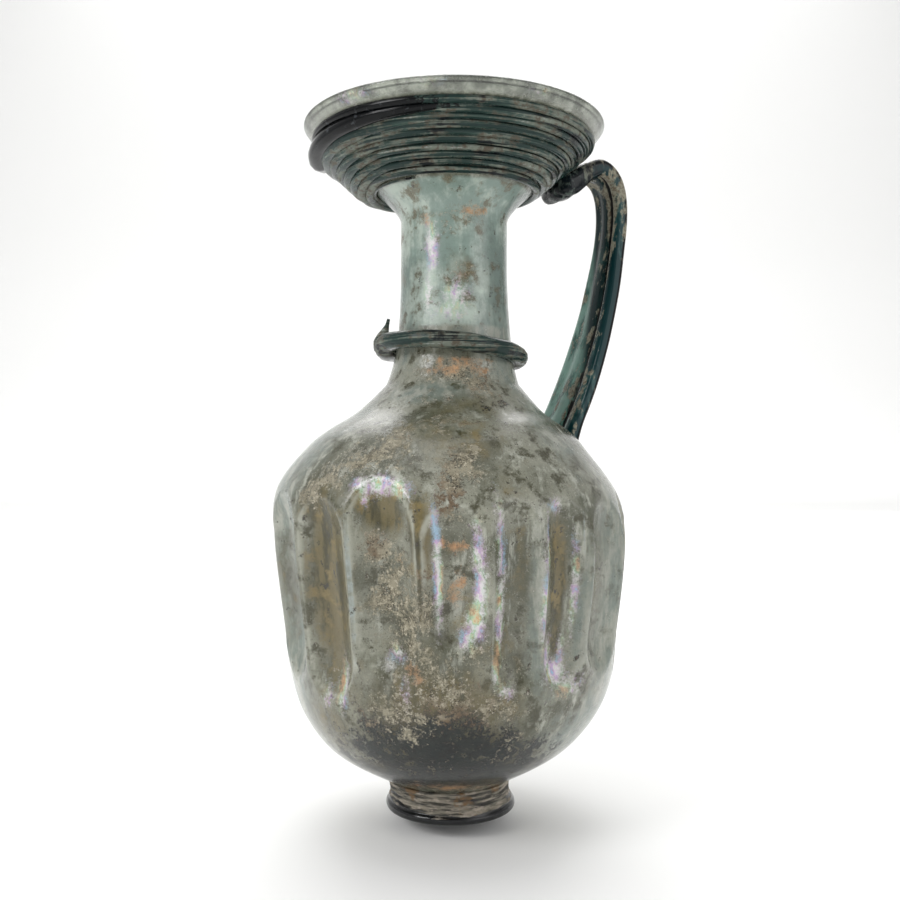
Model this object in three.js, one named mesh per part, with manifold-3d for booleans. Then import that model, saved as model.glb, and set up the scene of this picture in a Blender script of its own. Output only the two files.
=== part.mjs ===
// Ancient glass jug: a blown body with pressed dimples, a tall neck, a funnel mouth wound with
// a thread of glass, a collar trail round the neck, a pad foot and a ribbed strap handle.
// Millimetres, +Z up. The origin is on the axis, on the underside of the foot.
// Azimuths are degrees from the front, which is -Y, towards +X.

import * as THREE from 'three';
import { mergeVertices } from 'three/addons/utils/BufferGeometryUtils.js';
import Module from 'manifold-3d';

// Clearance kept between the glass of one gather and the next.
const GAP = 0.3;

// Vessel, blown in one piece.
const WALL = 2;
const SEAT_RADIUS = 17.3;
const BODY_RADIUS = 52.4;
const BODY_HEIGHT = 115.8;
const NECK_ROOT_RADIUS = 20;
const NECK_RADIUS = 15.9;
const NECK_HEIGHT = 51;
const MOUTH_RADIUS = 44.4;
const FUNNEL_ANGLE = 39.5;
const NECK_FLARE = 0.5;
const THROAT_BEND = 3;
const THROAT_SHARE = 0.28;
const LIP_FLARE = 3.1;
const LIP_HEIGHT = 4.3;

// The body's outline above its seat, as shares of its radius and of its height.
const BODY_OUTLINE = [
  [0.645, 0.083],
  [0.811, 0.168],
  [0.895, 0.262],
  [0.953, 0.407],
  [1, 0.609],
  [0.953, 0.734],
  [0.788, 0.839],
  [0.678, 0.885],
  [0.527, 0.931],
];

// How far the axis of the free-blown form wanders sideways, and where on the body's or neck's height.
const BASE_LEAN = -1.2;
const BASE_LEAN_SHARE = 0.06;
const BASE_LEAN_SPREAD = 0.13;
const SHOULDER_LEAN = -2.1;
const SHOULDER_LEAN_SHARE = 0.785;
const SHOULDER_LEAN_SPREAD = 0.125;
const NECK_LEAN = 0.6;
const NECK_LEAN_BODY_SHARE = 0.85;
const NECK_LEAN_NECK_SHARE = 0.3;

// Dimples pressed into the soft body: azimuth, then lower and upper end as shares of its height.
const DIMPLE_DEPTH = 4.4;
const DIMPLE_LOW = 0.286;
const DIMPLE_HIGH = 0.735;
const DIMPLE_END = 12;
const DIMPLE_ROUNDING = 1.25;
const FRONT_DIMPLES = [
  [-42, 0.26, DIMPLE_HIGH],
  [-20, 0.338, 0.769],
  [2.2, 0.389, 0.726],
  [20.5, DIMPLE_LOW, 0.718],
  [35.5, DIMPLE_LOW, 0.726],
  [57, 0.303, 0.718],
];
const BACK_DIMPLE_COUNT = 11;

// Pad foot.
const FOOT_HEIGHT = 8.6;
const FOOT_FLAT_RADIUS = 17.2;
const FOOT_EDGE_RADIUS = 19.1;
const FOOT_EDGE_HEIGHT = 1.4;
const FOOT_WAIST_RADIUS = 17.6;
const FOOT_TOP_RADIUS = 18;
const FOOT_WAVE = 0.25;

// Collar trail round the neck, its middle a little above the neck's root.
const COLLAR_RISE = 10.2;
const COLLAR_RADIUS = 20.3;
const COLLAR_THICKNESS = 5.5;
const COLLAR_LEFT_TILT = 5.5;
const COLLAR_FRONT_TILT = 3.5;
const COLLAR_SHIFT = 0.8;
const COLLAR_LAP_AZIMUTH = -95;
const COLLAR_LAP_SPREAD = 30;
const COLLAR_LAP_SWELL = 0.16;
const COLLAR_TAIL_AZIMUTH = -73;
const COLLAR_TAIL_LENGTH = 4;
const COLLAR_TAIL_SPREAD = 9;

// Thread wound under the mouth.
const THREAD_WIDTH = 2;
const THREAD_THICKNESS = 1.3;
const THREAD_PITCH = 2.3;
const THREAD_START_AZIMUTH = -100;
const THREAD_TOP_MARGIN = 0.3;
const THREAD_BOTTOM_MARGIN = 1.5;

// Thick first stretches of that thread, fused over its upper windings: how many windings down each
// starts, its width and thickness there in threads, and the angle it runs before it is plain thread.
const THICK_STRETCHES = [
  { windings: 1.6, widths: 4.1, thicknesses: 4.9, run: 115 },
  { windings: 3.3, widths: 2.2, thicknesses: 1.85, run: 150 },
];
const THICK_LEAD_SHARE = 0.45;
const THREAD_TAPER_SHARE = 0.4;

// Strap handle.
const HANDLE_AZIMUTH = 114;
const HANDLE_PAST_BODY = 3.4;
const HANDLE_ARCH_DROP = 2.9;
const HANDLE_TOP_INSET = 10.4;
const HANDLE_FOOT_INSET = 15.8;
const HANDLE_TOP_WIDTH = 11;
const HANDLE_FOOT_WIDTH = 23.5;
const HANDLE_THICKNESS = 4.6;
const HANDLE_RIB = 0.7;
const HANDLE_PAD_SWELL = 0.25;
const HANDLE_PAD_SHARE = 0.12;
const HANDLE_FOLD_SWELL = 0.25;
const HANDLE_FOLD_SHARE = 0.3;
const HANDLE_WIDEN_FROM = 0.25;
const HANDLE_WIDEN_TO = 0.95;

// The arch, from the pad under the trail to the outermost reach: shares of the way out and up.
const HANDLE_ARCH = [
  [-0.05, 0.12],
  [0.12, 0.14],
  [0.28, 0.4],
  [0.47, 0.78],
  [0.7, 1],
  [0.91, 0.55],
];

// The straight run, from the shoulder to the outermost reach: shares of the way out and down.
const HANDLE_RUN = [
  [1, 0.13],
  [0.96, 0.27],
  [0.74, 0.51],
  [0.42, 0.74],
  [0, 1],
  [-0.15, 1.11],
];

// Facets of each piece.
const STATIONS_PER_DIMPLE = 4;
const BODY_RINGS = 14;
const BODY_INNER_RINGS = 8;
const NECK_RINGS = 2;
const THROAT_RINGS = 3;
const LIP_RINGS = 2;
const FOOT_SIDES = 32;
const COLLAR_STEPS = 32;
const COLLAR_SIDES = 7;
const THREAD_STEPS_PER_TURN = 22;
const THREAD_SIDES = 5;
const THICK_SIDES = 7;
const HANDLE_STEPS = 26;

const { degToRad, smoothstep, lerp } = THREE.MathUtils;
const vec2 = (x, y) => new THREE.Vector2(x, y);

// Heights and radii that follow from the sizes above.
const seatZ = FOOT_HEIGHT + GAP;
const neckRootZ = seatZ + BODY_HEIGHT;
const throatZ = neckRootZ + NECK_HEIGHT;
const funnelSlope = Math.tan(degToRad(FUNNEL_ANGLE));
const funnelTopRadius = MOUTH_RADIUS - LIP_FLARE;
const funnelTopZ = throatZ + (funnelTopRadius - NECK_RADIUS) * funnelSlope;
const rimZ = funnelTopZ + LIP_HEIGHT;
const funnelZ = (radius) => throatZ + (radius - NECK_RADIUS) * funnelSlope;

const gather = new THREE.Group();

function addPiece(name, geometry, color, roughness) {
  const material = new THREE.MeshStandardMaterial({ color, roughness, metalness: 0 });
  const mesh = new THREE.Mesh(geometry, material);
  mesh.name = name;
  gather.add(mesh);
}

const bell = (value, centre, spread) => Math.exp(-(((value - centre) / spread) ** 2));

function lean(z) {
  const bodyShare = (z - seatZ) / BODY_HEIGHT;
  const base = BASE_LEAN * bell(bodyShare, BASE_LEAN_SHARE, BASE_LEAN_SPREAD);
  const shoulder = SHOULDER_LEAN * bell(bodyShare, SHOULDER_LEAN_SHARE, SHOULDER_LEAN_SPREAD);
  const neckStart = seatZ + BODY_HEIGHT * NECK_LEAN_BODY_SHARE;
  const neckEnd = neckRootZ + NECK_HEIGHT * NECK_LEAN_NECK_SHARE;
  return base + shoulder + NECK_LEAN * smoothstep(z, neckStart, neckEnd);
}

// Point on the jug from an azimuth, a radius and a height, with the lean of the axis.
function place(azimuth, radius, z) {
  const angle = degToRad(azimuth);
  return new THREE.Vector3(lean(z) + radius * Math.sin(angle), -radius * Math.cos(angle), z);
}

// Closed skin over a row of rings that each run anticlockwise round the way the row goes.
// Its ends are shut by fans, or the last ring meets the first one.
function skin(rings, isLoop = false) {
  const sides = rings[0].length;
  const corners = rings.flat();
  const faces = [];
  const spans = isLoop ? rings.length : rings.length - 1;
  for (let i = 0; i < spans; i++) {
    const low = i * sides;
    const high = ((i + 1) % rings.length) * sides;
    for (let j = 0; j < sides; j++) {
      const next = (j + 1) % sides;
      faces.push(low + j, low + next, high + next, low + j, high + next, high + j);
    }
  }
  if (!isLoop) {
    const firstCentre = corners.length;
    for (const ring of [rings[0], rings.at(-1)]) {
      const centre = new THREE.Vector3();
      ring.forEach((corner) => centre.addScaledVector(corner, 1 / sides));
      corners.push(centre);
    }
    const last = (rings.length - 1) * sides;
    for (let j = 0; j < sides; j++) {
      const next = (j + 1) % sides;
      faces.push(firstCentre, next, j, firstCentre + 1, last + j, last + next);
    }
  }
  const geometry = new THREE.BufferGeometry().setFromPoints(corners);
  geometry.setIndex(faces);
  return geometry;
}

// Boolean cuts and joins on closed geometries.
const wasm = await Module();
wasm.setup();

function toSolid(geometry) {
  const bare = geometry.clone();
  bare.deleteAttribute('normal');
  bare.deleteAttribute('uv');
  const merged = mergeVertices(bare, 1e-4);
  const vertProperties = new Float32Array(merged.attributes.position.array);
  const triVerts = new Uint32Array(merged.index.array);
  return new wasm.Manifold(new wasm.Mesh({ numProp: 3, vertProperties, triVerts }));
}

function toGeometry(solid) {
  const mesh = solid.getMesh();
  const geometry = new THREE.BufferGeometry();
  geometry.setAttribute('position', new THREE.BufferAttribute(mesh.vertProperties, 3));
  geometry.setIndex(new THREE.BufferAttribute(mesh.triVerts, 1));
  return geometry;
}

// Outline of the vessel's outside, from the seat on the foot up to the rim.
const bodyCurve = new THREE.SplineCurve([
  vec2(SEAT_RADIUS, seatZ),
  ...BODY_OUTLINE.map(([radius, height]) => vec2(radius * BODY_RADIUS, seatZ + height * BODY_HEIGHT)),
  vec2(NECK_ROOT_RADIUS, neckRootZ),
]);
const neckCurve = new THREE.CubicBezierCurve(
  vec2(NECK_ROOT_RADIUS, neckRootZ),
  vec2(NECK_RADIUS + NECK_FLARE, lerp(neckRootZ, throatZ, 0.18)),
  vec2(NECK_RADIUS, lerp(neckRootZ, throatZ, 0.5)),
  vec2(NECK_RADIUS, throatZ - THROAT_BEND),
);
const throatEndRadius = lerp(NECK_RADIUS, funnelTopRadius, THROAT_SHARE);
const throatCurve = new THREE.QuadraticBezierCurve(
  vec2(NECK_RADIUS, throatZ - THROAT_BEND),
  vec2(NECK_RADIUS, throatZ),
  vec2(throatEndRadius, funnelZ(throatEndRadius)),
);
const rimRoll = WALL / 2;
const lipCurve = new THREE.QuadraticBezierCurve(
  vec2(funnelTopRadius, funnelTopZ),
  vec2(MOUTH_RADIUS - LIP_FLARE * 0.35, funnelTopZ + LIP_HEIGHT * 0.35),
  vec2(MOUTH_RADIUS, rimZ - rimRoll),
);

// Points along a curve, pushed outwards by an offset that may be negative.
function offsetPoints(curve, spans, offset, first = 0) {
  const points = [];
  for (let i = first; i <= spans; i++) {
    const along = curve.getTangentAt(i / spans);
    points.push(curve.getPointAt(i / spans).add(vec2(along.y, -along.x).multiplyScalar(offset)));
  }
  return points;
}

function outline(offset, bodyRings) {
  return [
    vec2(SEAT_RADIUS, seatZ - offset),
    ...offsetPoints(bodyCurve, bodyRings, offset, 1),
    ...offsetPoints(neckCurve, NECK_RINGS, offset, 1),
    ...offsetPoints(throatCurve, THROAT_RINGS, offset, 1),
    ...offsetPoints(lipCurve, LIP_RINGS, offset, 1).slice(0, -1),
    vec2(MOUTH_RADIUS + offset, rimZ - rimRoll),
  ];
}

// Dimples all round: the ones at the front, then the rest evenly spaced behind.
const frontStart = FRONT_DIMPLES[0][0];
const frontEnd = FRONT_DIMPLES.at(-1)[0];
const backStep = (360 - (frontEnd - frontStart)) / (BACK_DIMPLE_COUNT + 1);
const backDimples = Array.from({ length: BACK_DIMPLE_COUNT }, (_, i) => [
  frontEnd + backStep * (i + 1),
  DIMPLE_LOW,
  DIMPLE_HIGH,
]);
const dimples = [...FRONT_DIMPLES, ...backDimples].map(([azimuth, low, high]) => ({
  azimuth,
  low: seatZ + BODY_HEIGHT * low,
  high: seatZ + BODY_HEIGHT * high,
}));
dimples.forEach((dimple, i) => {
  const before = i === 0 ? dimples.at(-1).azimuth - 360 : dimples[i - 1].azimuth;
  const after = i === dimples.length - 1 ? dimples[0].azimuth + 360 : dimples[i + 1].azimuth;
  dimple.start = (before + dimple.azimuth) / 2;
  dimple.end = (after + dimple.azimuth) / 2;
});

// Stations round the vessel, a few to each dimple, with the place across it from -1 to 1.
const stations = dimples.flatMap((dimple) =>
  Array.from({ length: STATIONS_PER_DIMPLE }, (_, i) => {
    const across = (2 * i) / STATIONS_PER_DIMPLE - 1;
    const side = across < 0 ? dimple.start : dimple.end;
    return { dimple, across, azimuth: lerp(dimple.azimuth, side, Math.abs(across)) };
  }),
);

function dimpleDepth({ dimple, across }, z) {
  const fromLow = (dimple.low + DIMPLE_END - z) / DIMPLE_END;
  const fromHigh = (z - dimple.high + DIMPLE_END) / DIMPLE_END;
  const beyond = Math.max(0, fromLow, fromHigh);
  const reach = Math.min(1, Math.hypot(across, beyond));
  return DIMPLE_DEPTH * (1 - reach ** 2) ** DIMPLE_ROUNDING;
}

const vesselRing = ({ x: radius, y: z }) =>
  stations.map((station) => place(station.azimuth, radius - dimpleDepth(station, z), z));

const outerRings = outline(0, BODY_RINGS).map(vesselRing);
const innerRings = outline(-WALL, BODY_INNER_RINGS).map(vesselRing).reverse();
const crownRing = vesselRing(vec2(MOUTH_RADIUS - WALL / 2, rimZ));
const vesselGeometry = skin([...outerRings, crownRing, ...innerRings]);
addPiece('vessel', vesselGeometry, 0xa9b8ab, 0.3);

// The vessel's outside grown by the clearance, which cuts what is laid on it.
const clearVessel = toSolid(skin(outline(GAP, BODY_RINGS).map(vesselRing)));
const seatOnVessel = (geometry) => toSolid(geometry).subtract(clearVessel);

// Foot: a pad with a flat underside, a rolled edge and a waist with wavy tool marks.
const footOutline = [
  [FOOT_FLAT_RADIUS, 0],
  [lerp(FOOT_FLAT_RADIUS, FOOT_EDGE_RADIUS, 0.75), FOOT_EDGE_HEIGHT * 0.3],
  [FOOT_EDGE_RADIUS, FOOT_EDGE_HEIGHT],
  [lerp(FOOT_WAIST_RADIUS, FOOT_EDGE_RADIUS, 0.6), lerp(FOOT_EDGE_HEIGHT, FOOT_HEIGHT, 0.3)],
  [FOOT_WAIST_RADIUS, lerp(FOOT_EDGE_HEIGHT, FOOT_HEIGHT, 0.6)],
  [FOOT_TOP_RADIUS, FOOT_HEIGHT],
];
const footRings = footOutline.map(([radius, z]) =>
  Array.from({ length: FOOT_SIDES }, (_, i) => {
    const azimuth = (360 * i) / FOOT_SIDES;
    const wave = FOOT_WAVE * Math.sin(degToRad(3 * azimuth) + z);
    return place(azimuth, radius + (z > 0 ? wave : 0), z);
  }),
);
addPiece('foot', skin(footRings), 0x6d6a5c, 0.6);

// Radius of the vessel's outside at a height on the neck or shoulder, with the clearance.
const clearOutline = outline(GAP, BODY_RINGS);

function clearRadius(z) {
  const above = clearOutline.findIndex((point) => point.y > z && point.y > seatZ + BODY_HEIGHT / 2);
  const [low, high] = [clearOutline[above - 1], clearOutline[above]];
  return lerp(low.x, high.x, (z - low.y) / (high.y - low.y));
}

// Collar: a thick trail closed on itself and flattened against the neck, higher at the left and the
// front, thicker where its ends lap, with a tail pinched up.
const collarZ = neckRootZ + COLLAR_RISE;
const leftSlope = Math.tan(degToRad(COLLAR_LEFT_TILT));
const frontSlope = Math.tan(degToRad(COLLAR_FRONT_TILT));
const turnFrom = (azimuth, start) => THREE.MathUtils.euclideanModulo(azimuth - start + 180, 360) - 180;
const collarRings = Array.from({ length: COLLAR_STEPS }, (_, i) => {
  const azimuth = COLLAR_TAIL_AZIMUTH + (360 * i) / COLLAR_STEPS;
  const pinch = bell(turnFrom(azimuth, COLLAR_TAIL_AZIMUTH), 0, COLLAR_TAIL_SPREAD);
  const lap = bell(turnFrom(azimuth, COLLAR_LAP_AZIMUTH), 0, COLLAR_LAP_SPREAD);
  const half = (COLLAR_THICKNESS / 2) * (1 + COLLAR_LAP_SWELL * lap);
  const left = -Math.sin(degToRad(azimuth));
  const front = Math.cos(degToRad(azimuth));
  const centreZ = collarZ + COLLAR_RADIUS * (leftSlope * left + frontSlope * front);
  return Array.from({ length: COLLAR_SIDES }, (_unused, j) => {
    const angle = (-2 * Math.PI * j) / COLLAR_SIDES;
    const upward = Math.max(0, Math.sin(angle)) ** 3;
    const radius = COLLAR_RADIUS + COLLAR_SHIFT * left + half * Math.cos(angle);
    const z = centreZ + half * Math.sin(angle) + COLLAR_TAIL_LENGTH * pinch * upward;
    return place(azimuth, Math.max(radius, clearRadius(z)), z);
  });
});
addPiece('neck_collar', skin(collarRings, true), 0x3c4a46, 0.35);

// Sections of thread laid on the funnel: flattened ovals whose back keeps the clearance, also where
// each straight facet of a winding dips towards the wall at its middle.
const threadSag = MOUTH_RADIUS * (1 - Math.cos(Math.PI / THREAD_STEPS_PER_TURN));
const downSlope = vec2(-Math.cos(degToRad(FUNNEL_ANGLE)), -Math.sin(degToRad(FUNNEL_ANGLE)));
const offSlope = vec2(-downSlope.y, downSlope.x);

function threadSection(azimuth, down, width, thickness, sides) {
  const centre = vec2(funnelTopRadius, funnelTopZ)
    .addScaledVector(downSlope, down)
    .addScaledVector(offSlope, GAP + thickness / 2 + threadSag);
  return Array.from({ length: sides }, (_, j) => {
    const angle = (2 * Math.PI * j) / sides;
    const point = centre
      .clone()
      .addScaledVector(offSlope, (thickness / 2) * Math.cos(angle))
      .addScaledVector(downSlope, (width / 2) * Math.sin(angle));
    return place(azimuth, point.x, point.y);
  });
}

const funnelRun = (funnelTopRadius - throatEndRadius) / Math.cos(degToRad(FUNNEL_ANGLE));
const threadTurns = (funnelRun - THREAD_TOP_MARGIN - THREAD_BOTTOM_MARGIN) / THREAD_PITCH;
const threadSteps = Math.round(threadTurns * THREAD_STEPS_PER_TURN);
const threadRings = Array.from({ length: threadSteps + 1 }, (_, i) => {
  const turn = i / THREAD_STEPS_PER_TURN;
  const taper = Math.min(1, THREAD_TAPER_SHARE + (threadSteps - i) / THREAD_STEPS_PER_TURN);
  const down = THREAD_TOP_MARGIN + THREAD_PITCH * turn;
  const azimuth = THREAD_START_AZIMUTH + 360 * turn;
  return threadSection(azimuth, down, THREAD_WIDTH * taper, THREAD_THICKNESS * taper, THREAD_SIDES);
});
let trailSolid = toSolid(skin(threadRings));
for (const { windings, widths, thicknesses, run } of THICK_STRETCHES) {
  const steps = Math.round((run / 360) * THREAD_STEPS_PER_TURN);
  const rings = Array.from({ length: steps + 1 }, (_, i) => {
    const left = 1 - i / steps;
    const lead = Math.min(1, THICK_LEAD_SHARE + i / 3);
    const width = THREAD_WIDTH * lerp(1, widths, left) * lead;
    const thickness = THREAD_THICKNESS * lerp(1, thicknesses, left) * lead;
    const azimuth = THREAD_START_AZIMUTH + (run * i) / steps;
    return threadSection(azimuth, THREAD_PITCH * windings, width, thickness, THICK_SIDES);
  });
  trailSolid = trailSolid.add(toSolid(skin(rings)));
}
addPiece('mouth_trail', toGeometry(trailSolid), 0x33443f, 0.35);

// Handle: a ribbed strap, cut to seat on the shoulder and under the mouth trail.
const trailCover = 2 * GAP + THREAD_THICKNESS + threadSag;
const handleReach = BODY_RADIUS + HANDLE_PAST_BODY;
const padRadius = MOUTH_RADIUS - HANDLE_TOP_INSET;
const padZ = funnelZ(padRadius) - trailCover - HANDLE_THICKNESS / 2;
const archZ = funnelTopZ - HANDLE_ARCH_DROP;
const footRadius = BODY_RADIUS - HANDLE_FOOT_INSET;
const strapFoot = bodyCurve.getPoints(200).findLast((point) => point.x > footRadius);
const strapRoute = [
  ...HANDLE_ARCH.map(([out, up]) => [lerp(padRadius, handleReach, out), lerp(padZ, archZ, up)]),
  ...HANDLE_RUN.map(([out, down]) => [lerp(strapFoot.x, handleReach, out), lerp(archZ, strapFoot.y, down)]),
];
const strapCurve = new THREE.SplineCurve(strapRoute.map(([radius, z]) => vec2(radius, z)));

// The strap's section from one edge to the other: place across it and whether a rib or a groove.
const STRAP_SECTION = [
  [1, 0, 0],
  [0.78, 1, 1],
  [0.4, 1, -1],
  [0, 1, 1],
  [-0.4, 1, -1],
  [-0.78, 1, 1],
  [-1, 0, 0],
  [-0.78, -1, 0.6],
  [0, -1, -1],
  [0.78, -1, 0.6],
];
const strapRings = Array.from({ length: HANDLE_STEPS + 1 }, (_, i) => {
  const share = i / HANDLE_STEPS;
  const centre = strapCurve.getPointAt(share);
  const along = strapCurve.getTangentAt(share);
  const outward = vec2(-along.y, along.x);
  const fromEnd = Math.min(share, 1 - share);
  const pad = 1 + HANDLE_PAD_SWELL * (1 - smoothstep(fromEnd, 0, HANDLE_PAD_SHARE));
  const fold = 1 + HANDLE_FOLD_SWELL * (1 - smoothstep(share, 0, HANDLE_FOLD_SHARE));
  const widening = smoothstep(share, HANDLE_WIDEN_FROM, HANDLE_WIDEN_TO);
  const width = lerp(HANDLE_TOP_WIDTH, HANDLE_FOOT_WIDTH, widening) * pad;
  return STRAP_SECTION.map(([across, face, rib]) => {
    const offset = face * (HANDLE_THICKNESS / 2 - HANDLE_RIB + HANDLE_RIB * rib) * pad * fold;
    const point = centre.clone().addScaledVector(outward, offset);
    const corner = place(HANDLE_AZIMUTH, point.x, point.y);
    const angle = degToRad(HANDLE_AZIMUTH);
    const sideways = (across * width) / 2;
    return corner.add(new THREE.Vector3(Math.cos(angle) * sideways, Math.sin(angle) * sideways, 0));
  });
});

// Cone that wraps the windings, grown by the clearance: the strap's pad is pressed against it.
const coverBase = vec2(NECK_RADIUS, throatZ).addScaledVector(offSlope, trailCover);
const coverTop = vec2(funnelTopRadius, funnelTopZ).addScaledVector(offSlope, trailCover);
const coverRings = [coverBase, coverTop, vec2(coverTop.x, rimZ)].map(({ x: radius, y: z }) =>
  stations.map(({ azimuth }) => place(azimuth, radius, z)),
);
const handleSolid = seatOnVessel(skin(strapRings)).subtract(toSolid(skin(coverRings)));
addPiece('handle', toGeometry(handleSolid), 0x1f3b3a, 0.3);

export default gather;
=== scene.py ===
import math

import bmesh
import bpy
import numpy as np
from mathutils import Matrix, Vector, noise


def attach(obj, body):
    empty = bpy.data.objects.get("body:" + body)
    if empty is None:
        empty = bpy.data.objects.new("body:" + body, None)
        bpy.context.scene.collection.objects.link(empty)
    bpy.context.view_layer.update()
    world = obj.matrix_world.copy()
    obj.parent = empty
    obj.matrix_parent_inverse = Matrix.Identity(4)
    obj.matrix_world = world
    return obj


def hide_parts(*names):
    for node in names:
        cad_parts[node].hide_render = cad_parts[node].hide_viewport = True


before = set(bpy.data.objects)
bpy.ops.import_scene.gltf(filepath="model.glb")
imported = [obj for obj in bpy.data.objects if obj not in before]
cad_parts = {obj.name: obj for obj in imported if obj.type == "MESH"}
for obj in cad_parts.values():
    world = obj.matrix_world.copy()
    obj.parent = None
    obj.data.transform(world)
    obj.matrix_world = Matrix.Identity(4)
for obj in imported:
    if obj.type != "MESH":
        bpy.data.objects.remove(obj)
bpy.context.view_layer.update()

# Blown vessel. One free-blown bubble of pale green glass, from the seat on the foot to the rim, its
# body pressed with upright dimples while it was soft. Sizes are millimetres above the foot's
# underside, and azimuths are degrees from the front (-Y) towards the handle (+X).
MM = 0.001
WALL = 2.0
SEAT_RADIUS = 17.3
SEAT_HEIGHT = 8.9
BODY_RADIUS = 52.4
BODY_HEIGHT = 115.8
NECK_ROOT_RADIUS = 20.0
NECK_RADIUS = 15.9
NECK_HEIGHT = 51.0
MOUTH_RADIUS = 44.4
FUNNEL_ANGLE = math.radians(39.5)
THROAT_BEND = 3.0
LIP_FLARE = 3.1
LIP_HEIGHT = 4.3
BODY_OUTLINE = [(0.645, 0.083), (0.811, 0.168), (0.895, 0.262), (0.953, 0.407), (1, 0.609),
                (0.953, 0.734), (0.788, 0.839), (0.678, 0.885), (0.527, 0.931)]
NECK_ROOT = SEAT_HEIGHT + BODY_HEIGHT
THROAT = NECK_ROOT + NECK_HEIGHT
FUNNEL_RADIUS = MOUTH_RADIUS - LIP_FLARE
FUNNEL_TOP = THROAT + (FUNNEL_RADIUS - NECK_RADIUS) * math.tan(FUNNEL_ANGLE)
RIM = FUNNEL_TOP + LIP_HEIGHT
ROUND_STEPS = 360


def through(points, spans):
    """A smooth line through the points, with equal spans between each pair of them."""
    line = []
    last = len(points) - 1
    for i in range(last):
        a, b, c, d = (np.array(points[k]) for k in (max(i - 1, 0), i, i + 1, min(i + 2, last)))
        for t in np.arange(spans) / spans:
            line.append((2 * b + (c - a) * t + (2 * a - 5 * b + 4 * c - d) * t ** 2
                         + (3 * b - a - 3 * c + d) * t ** 3) / 2)
    return line + [np.array(points[-1])]


def bent(points, spans):
    """A Bezier arc that starts and ends at its outer points and leans to the inner ones."""
    order = len(points) - 1
    return [sum(math.comb(order, k) * (1 - t) ** (order - k) * t ** k * np.array(p)
                for k, p in enumerate(points)) for t in np.arange(spans + 1) / spans]


def mix(a, b, share):
    return a + (b - a) * share


def smooth(value, low, high):
    share = np.clip((value - low) / (high - low), 0, 1)
    return share * share * (3 - 2 * share)


def bell(value, centre, spread):
    return np.exp(-((value - centre) / spread) ** 2)


body_line = through([(SEAT_RADIUS, SEAT_HEIGHT)]
                    + [(r * BODY_RADIUS, SEAT_HEIGHT + h * BODY_HEIGHT) for r, h in BODY_OUTLINE]
                    + [(NECK_ROOT_RADIUS, NECK_ROOT)], 10)
neck_line = bent([(NECK_ROOT_RADIUS, NECK_ROOT), (NECK_RADIUS + 0.5, NECK_ROOT + NECK_HEIGHT * 0.18),
                  (NECK_RADIUS, NECK_ROOT + NECK_HEIGHT * 0.5), (NECK_RADIUS, THROAT - THROAT_BEND)], 26)
throat_radius = mix(NECK_RADIUS, FUNNEL_RADIUS, 0.28)
throat_height = THROAT + (throat_radius - NECK_RADIUS) * math.tan(FUNNEL_ANGLE)
throat_line = bent([(NECK_RADIUS, THROAT - THROAT_BEND), (NECK_RADIUS, THROAT),
                    (throat_radius, throat_height)], 10)
lip_line = bent([(FUNNEL_RADIUS, FUNNEL_TOP),
                 (MOUTH_RADIUS - LIP_FLARE * 0.35, FUNNEL_TOP + LIP_HEIGHT * 0.35),
                 (MOUTH_RADIUS, RIM - WALL / 2)], 8)
funnel_line = [mix(throat_line[-1], lip_line[0], t) for t in np.arange(1, 12) / 12]
outside = body_line + neck_line[1:] + throat_line[1:] + funnel_line + lip_line


def inset(line, depth):
    """The line moved square to itself, to its left."""
    along = np.gradient(np.array(line), axis=0)
    along /= np.linalg.norm(along, axis=1)[:, None]
    return list(np.array(line) + depth * np.stack([-along[:, 1], along[:, 0]], axis=1))


inside = inset(outside[::2], WALL)[::-1]
rim_angles = np.radians(np.arange(20, 180, 20))
crown = [(MOUTH_RADIUS - WALL / 2 + WALL / 2 * math.cos(a), RIM - WALL / 2 + WALL / 2 * math.sin(a))
         for a in rim_angles]
inside[0] = np.array([MOUTH_RADIUS - WALL, RIM - WALL / 2])
seat_dome = [(SEAT_RADIUS * s, SEAT_HEIGHT) for s in (0, 0.35, 0.7)]
inner_floor = [(SEAT_RADIUS * s, SEAT_HEIGHT + WALL) for s in (0.7, 0.35, 0)]
vessel_line = seat_dome + outside + crown + inside + inner_floor

# The dimples at the front, from left to right, then evenly spaced ones behind: azimuth, lower end
# and upper end of each.
DIMPLE_DEPTH = 4.4
DIMPLE_END = 12.0
DIMPLE_ROUNDING = 1.05
DIMPLE_LOW = 42.0
DIMPLE_HIGH = 94.0
FRONT_DIMPLES = [(-42, 39, DIMPLE_HIGH), (-20, 48, 98), (2.2, 54, 93), (20.5, DIMPLE_LOW, 92),
                 (35.5, DIMPLE_LOW, 93), (57, 44, 92)]
BACK_DIMPLES = 11
back_step = (360 - FRONT_DIMPLES[-1][0] + FRONT_DIMPLES[0][0]) / (BACK_DIMPLES + 1)
dimples = FRONT_DIMPLES + [(FRONT_DIMPLES[-1][0] + back_step * (i + 1), DIMPLE_LOW, DIMPLE_HIGH)
                           for i in range(BACK_DIMPLES)]

# Sideways wander of the axis of the free-blown form.
BASE_LEAN = -1.2
SHOULDER_LEAN = -2.1
NECK_LEAN = 0.6


def lean(height):
    return (BASE_LEAN * bell(height, SEAT_HEIGHT + BODY_HEIGHT * 0.06, BODY_HEIGHT * 0.13)
            + SHOULDER_LEAN * bell(height, SEAT_HEIGHT + BODY_HEIGHT * 0.785, BODY_HEIGHT * 0.125)
            + NECK_LEAN * smooth(height, SEAT_HEIGHT + BODY_HEIGHT * 0.85, NECK_ROOT + NECK_HEIGHT * 0.3))


def turn_gap(azimuth, centre):
    """Signed angle from a centre, in degrees, by the shorter way round."""
    return (azimuth - centre + 180) % 360 - 180


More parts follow.
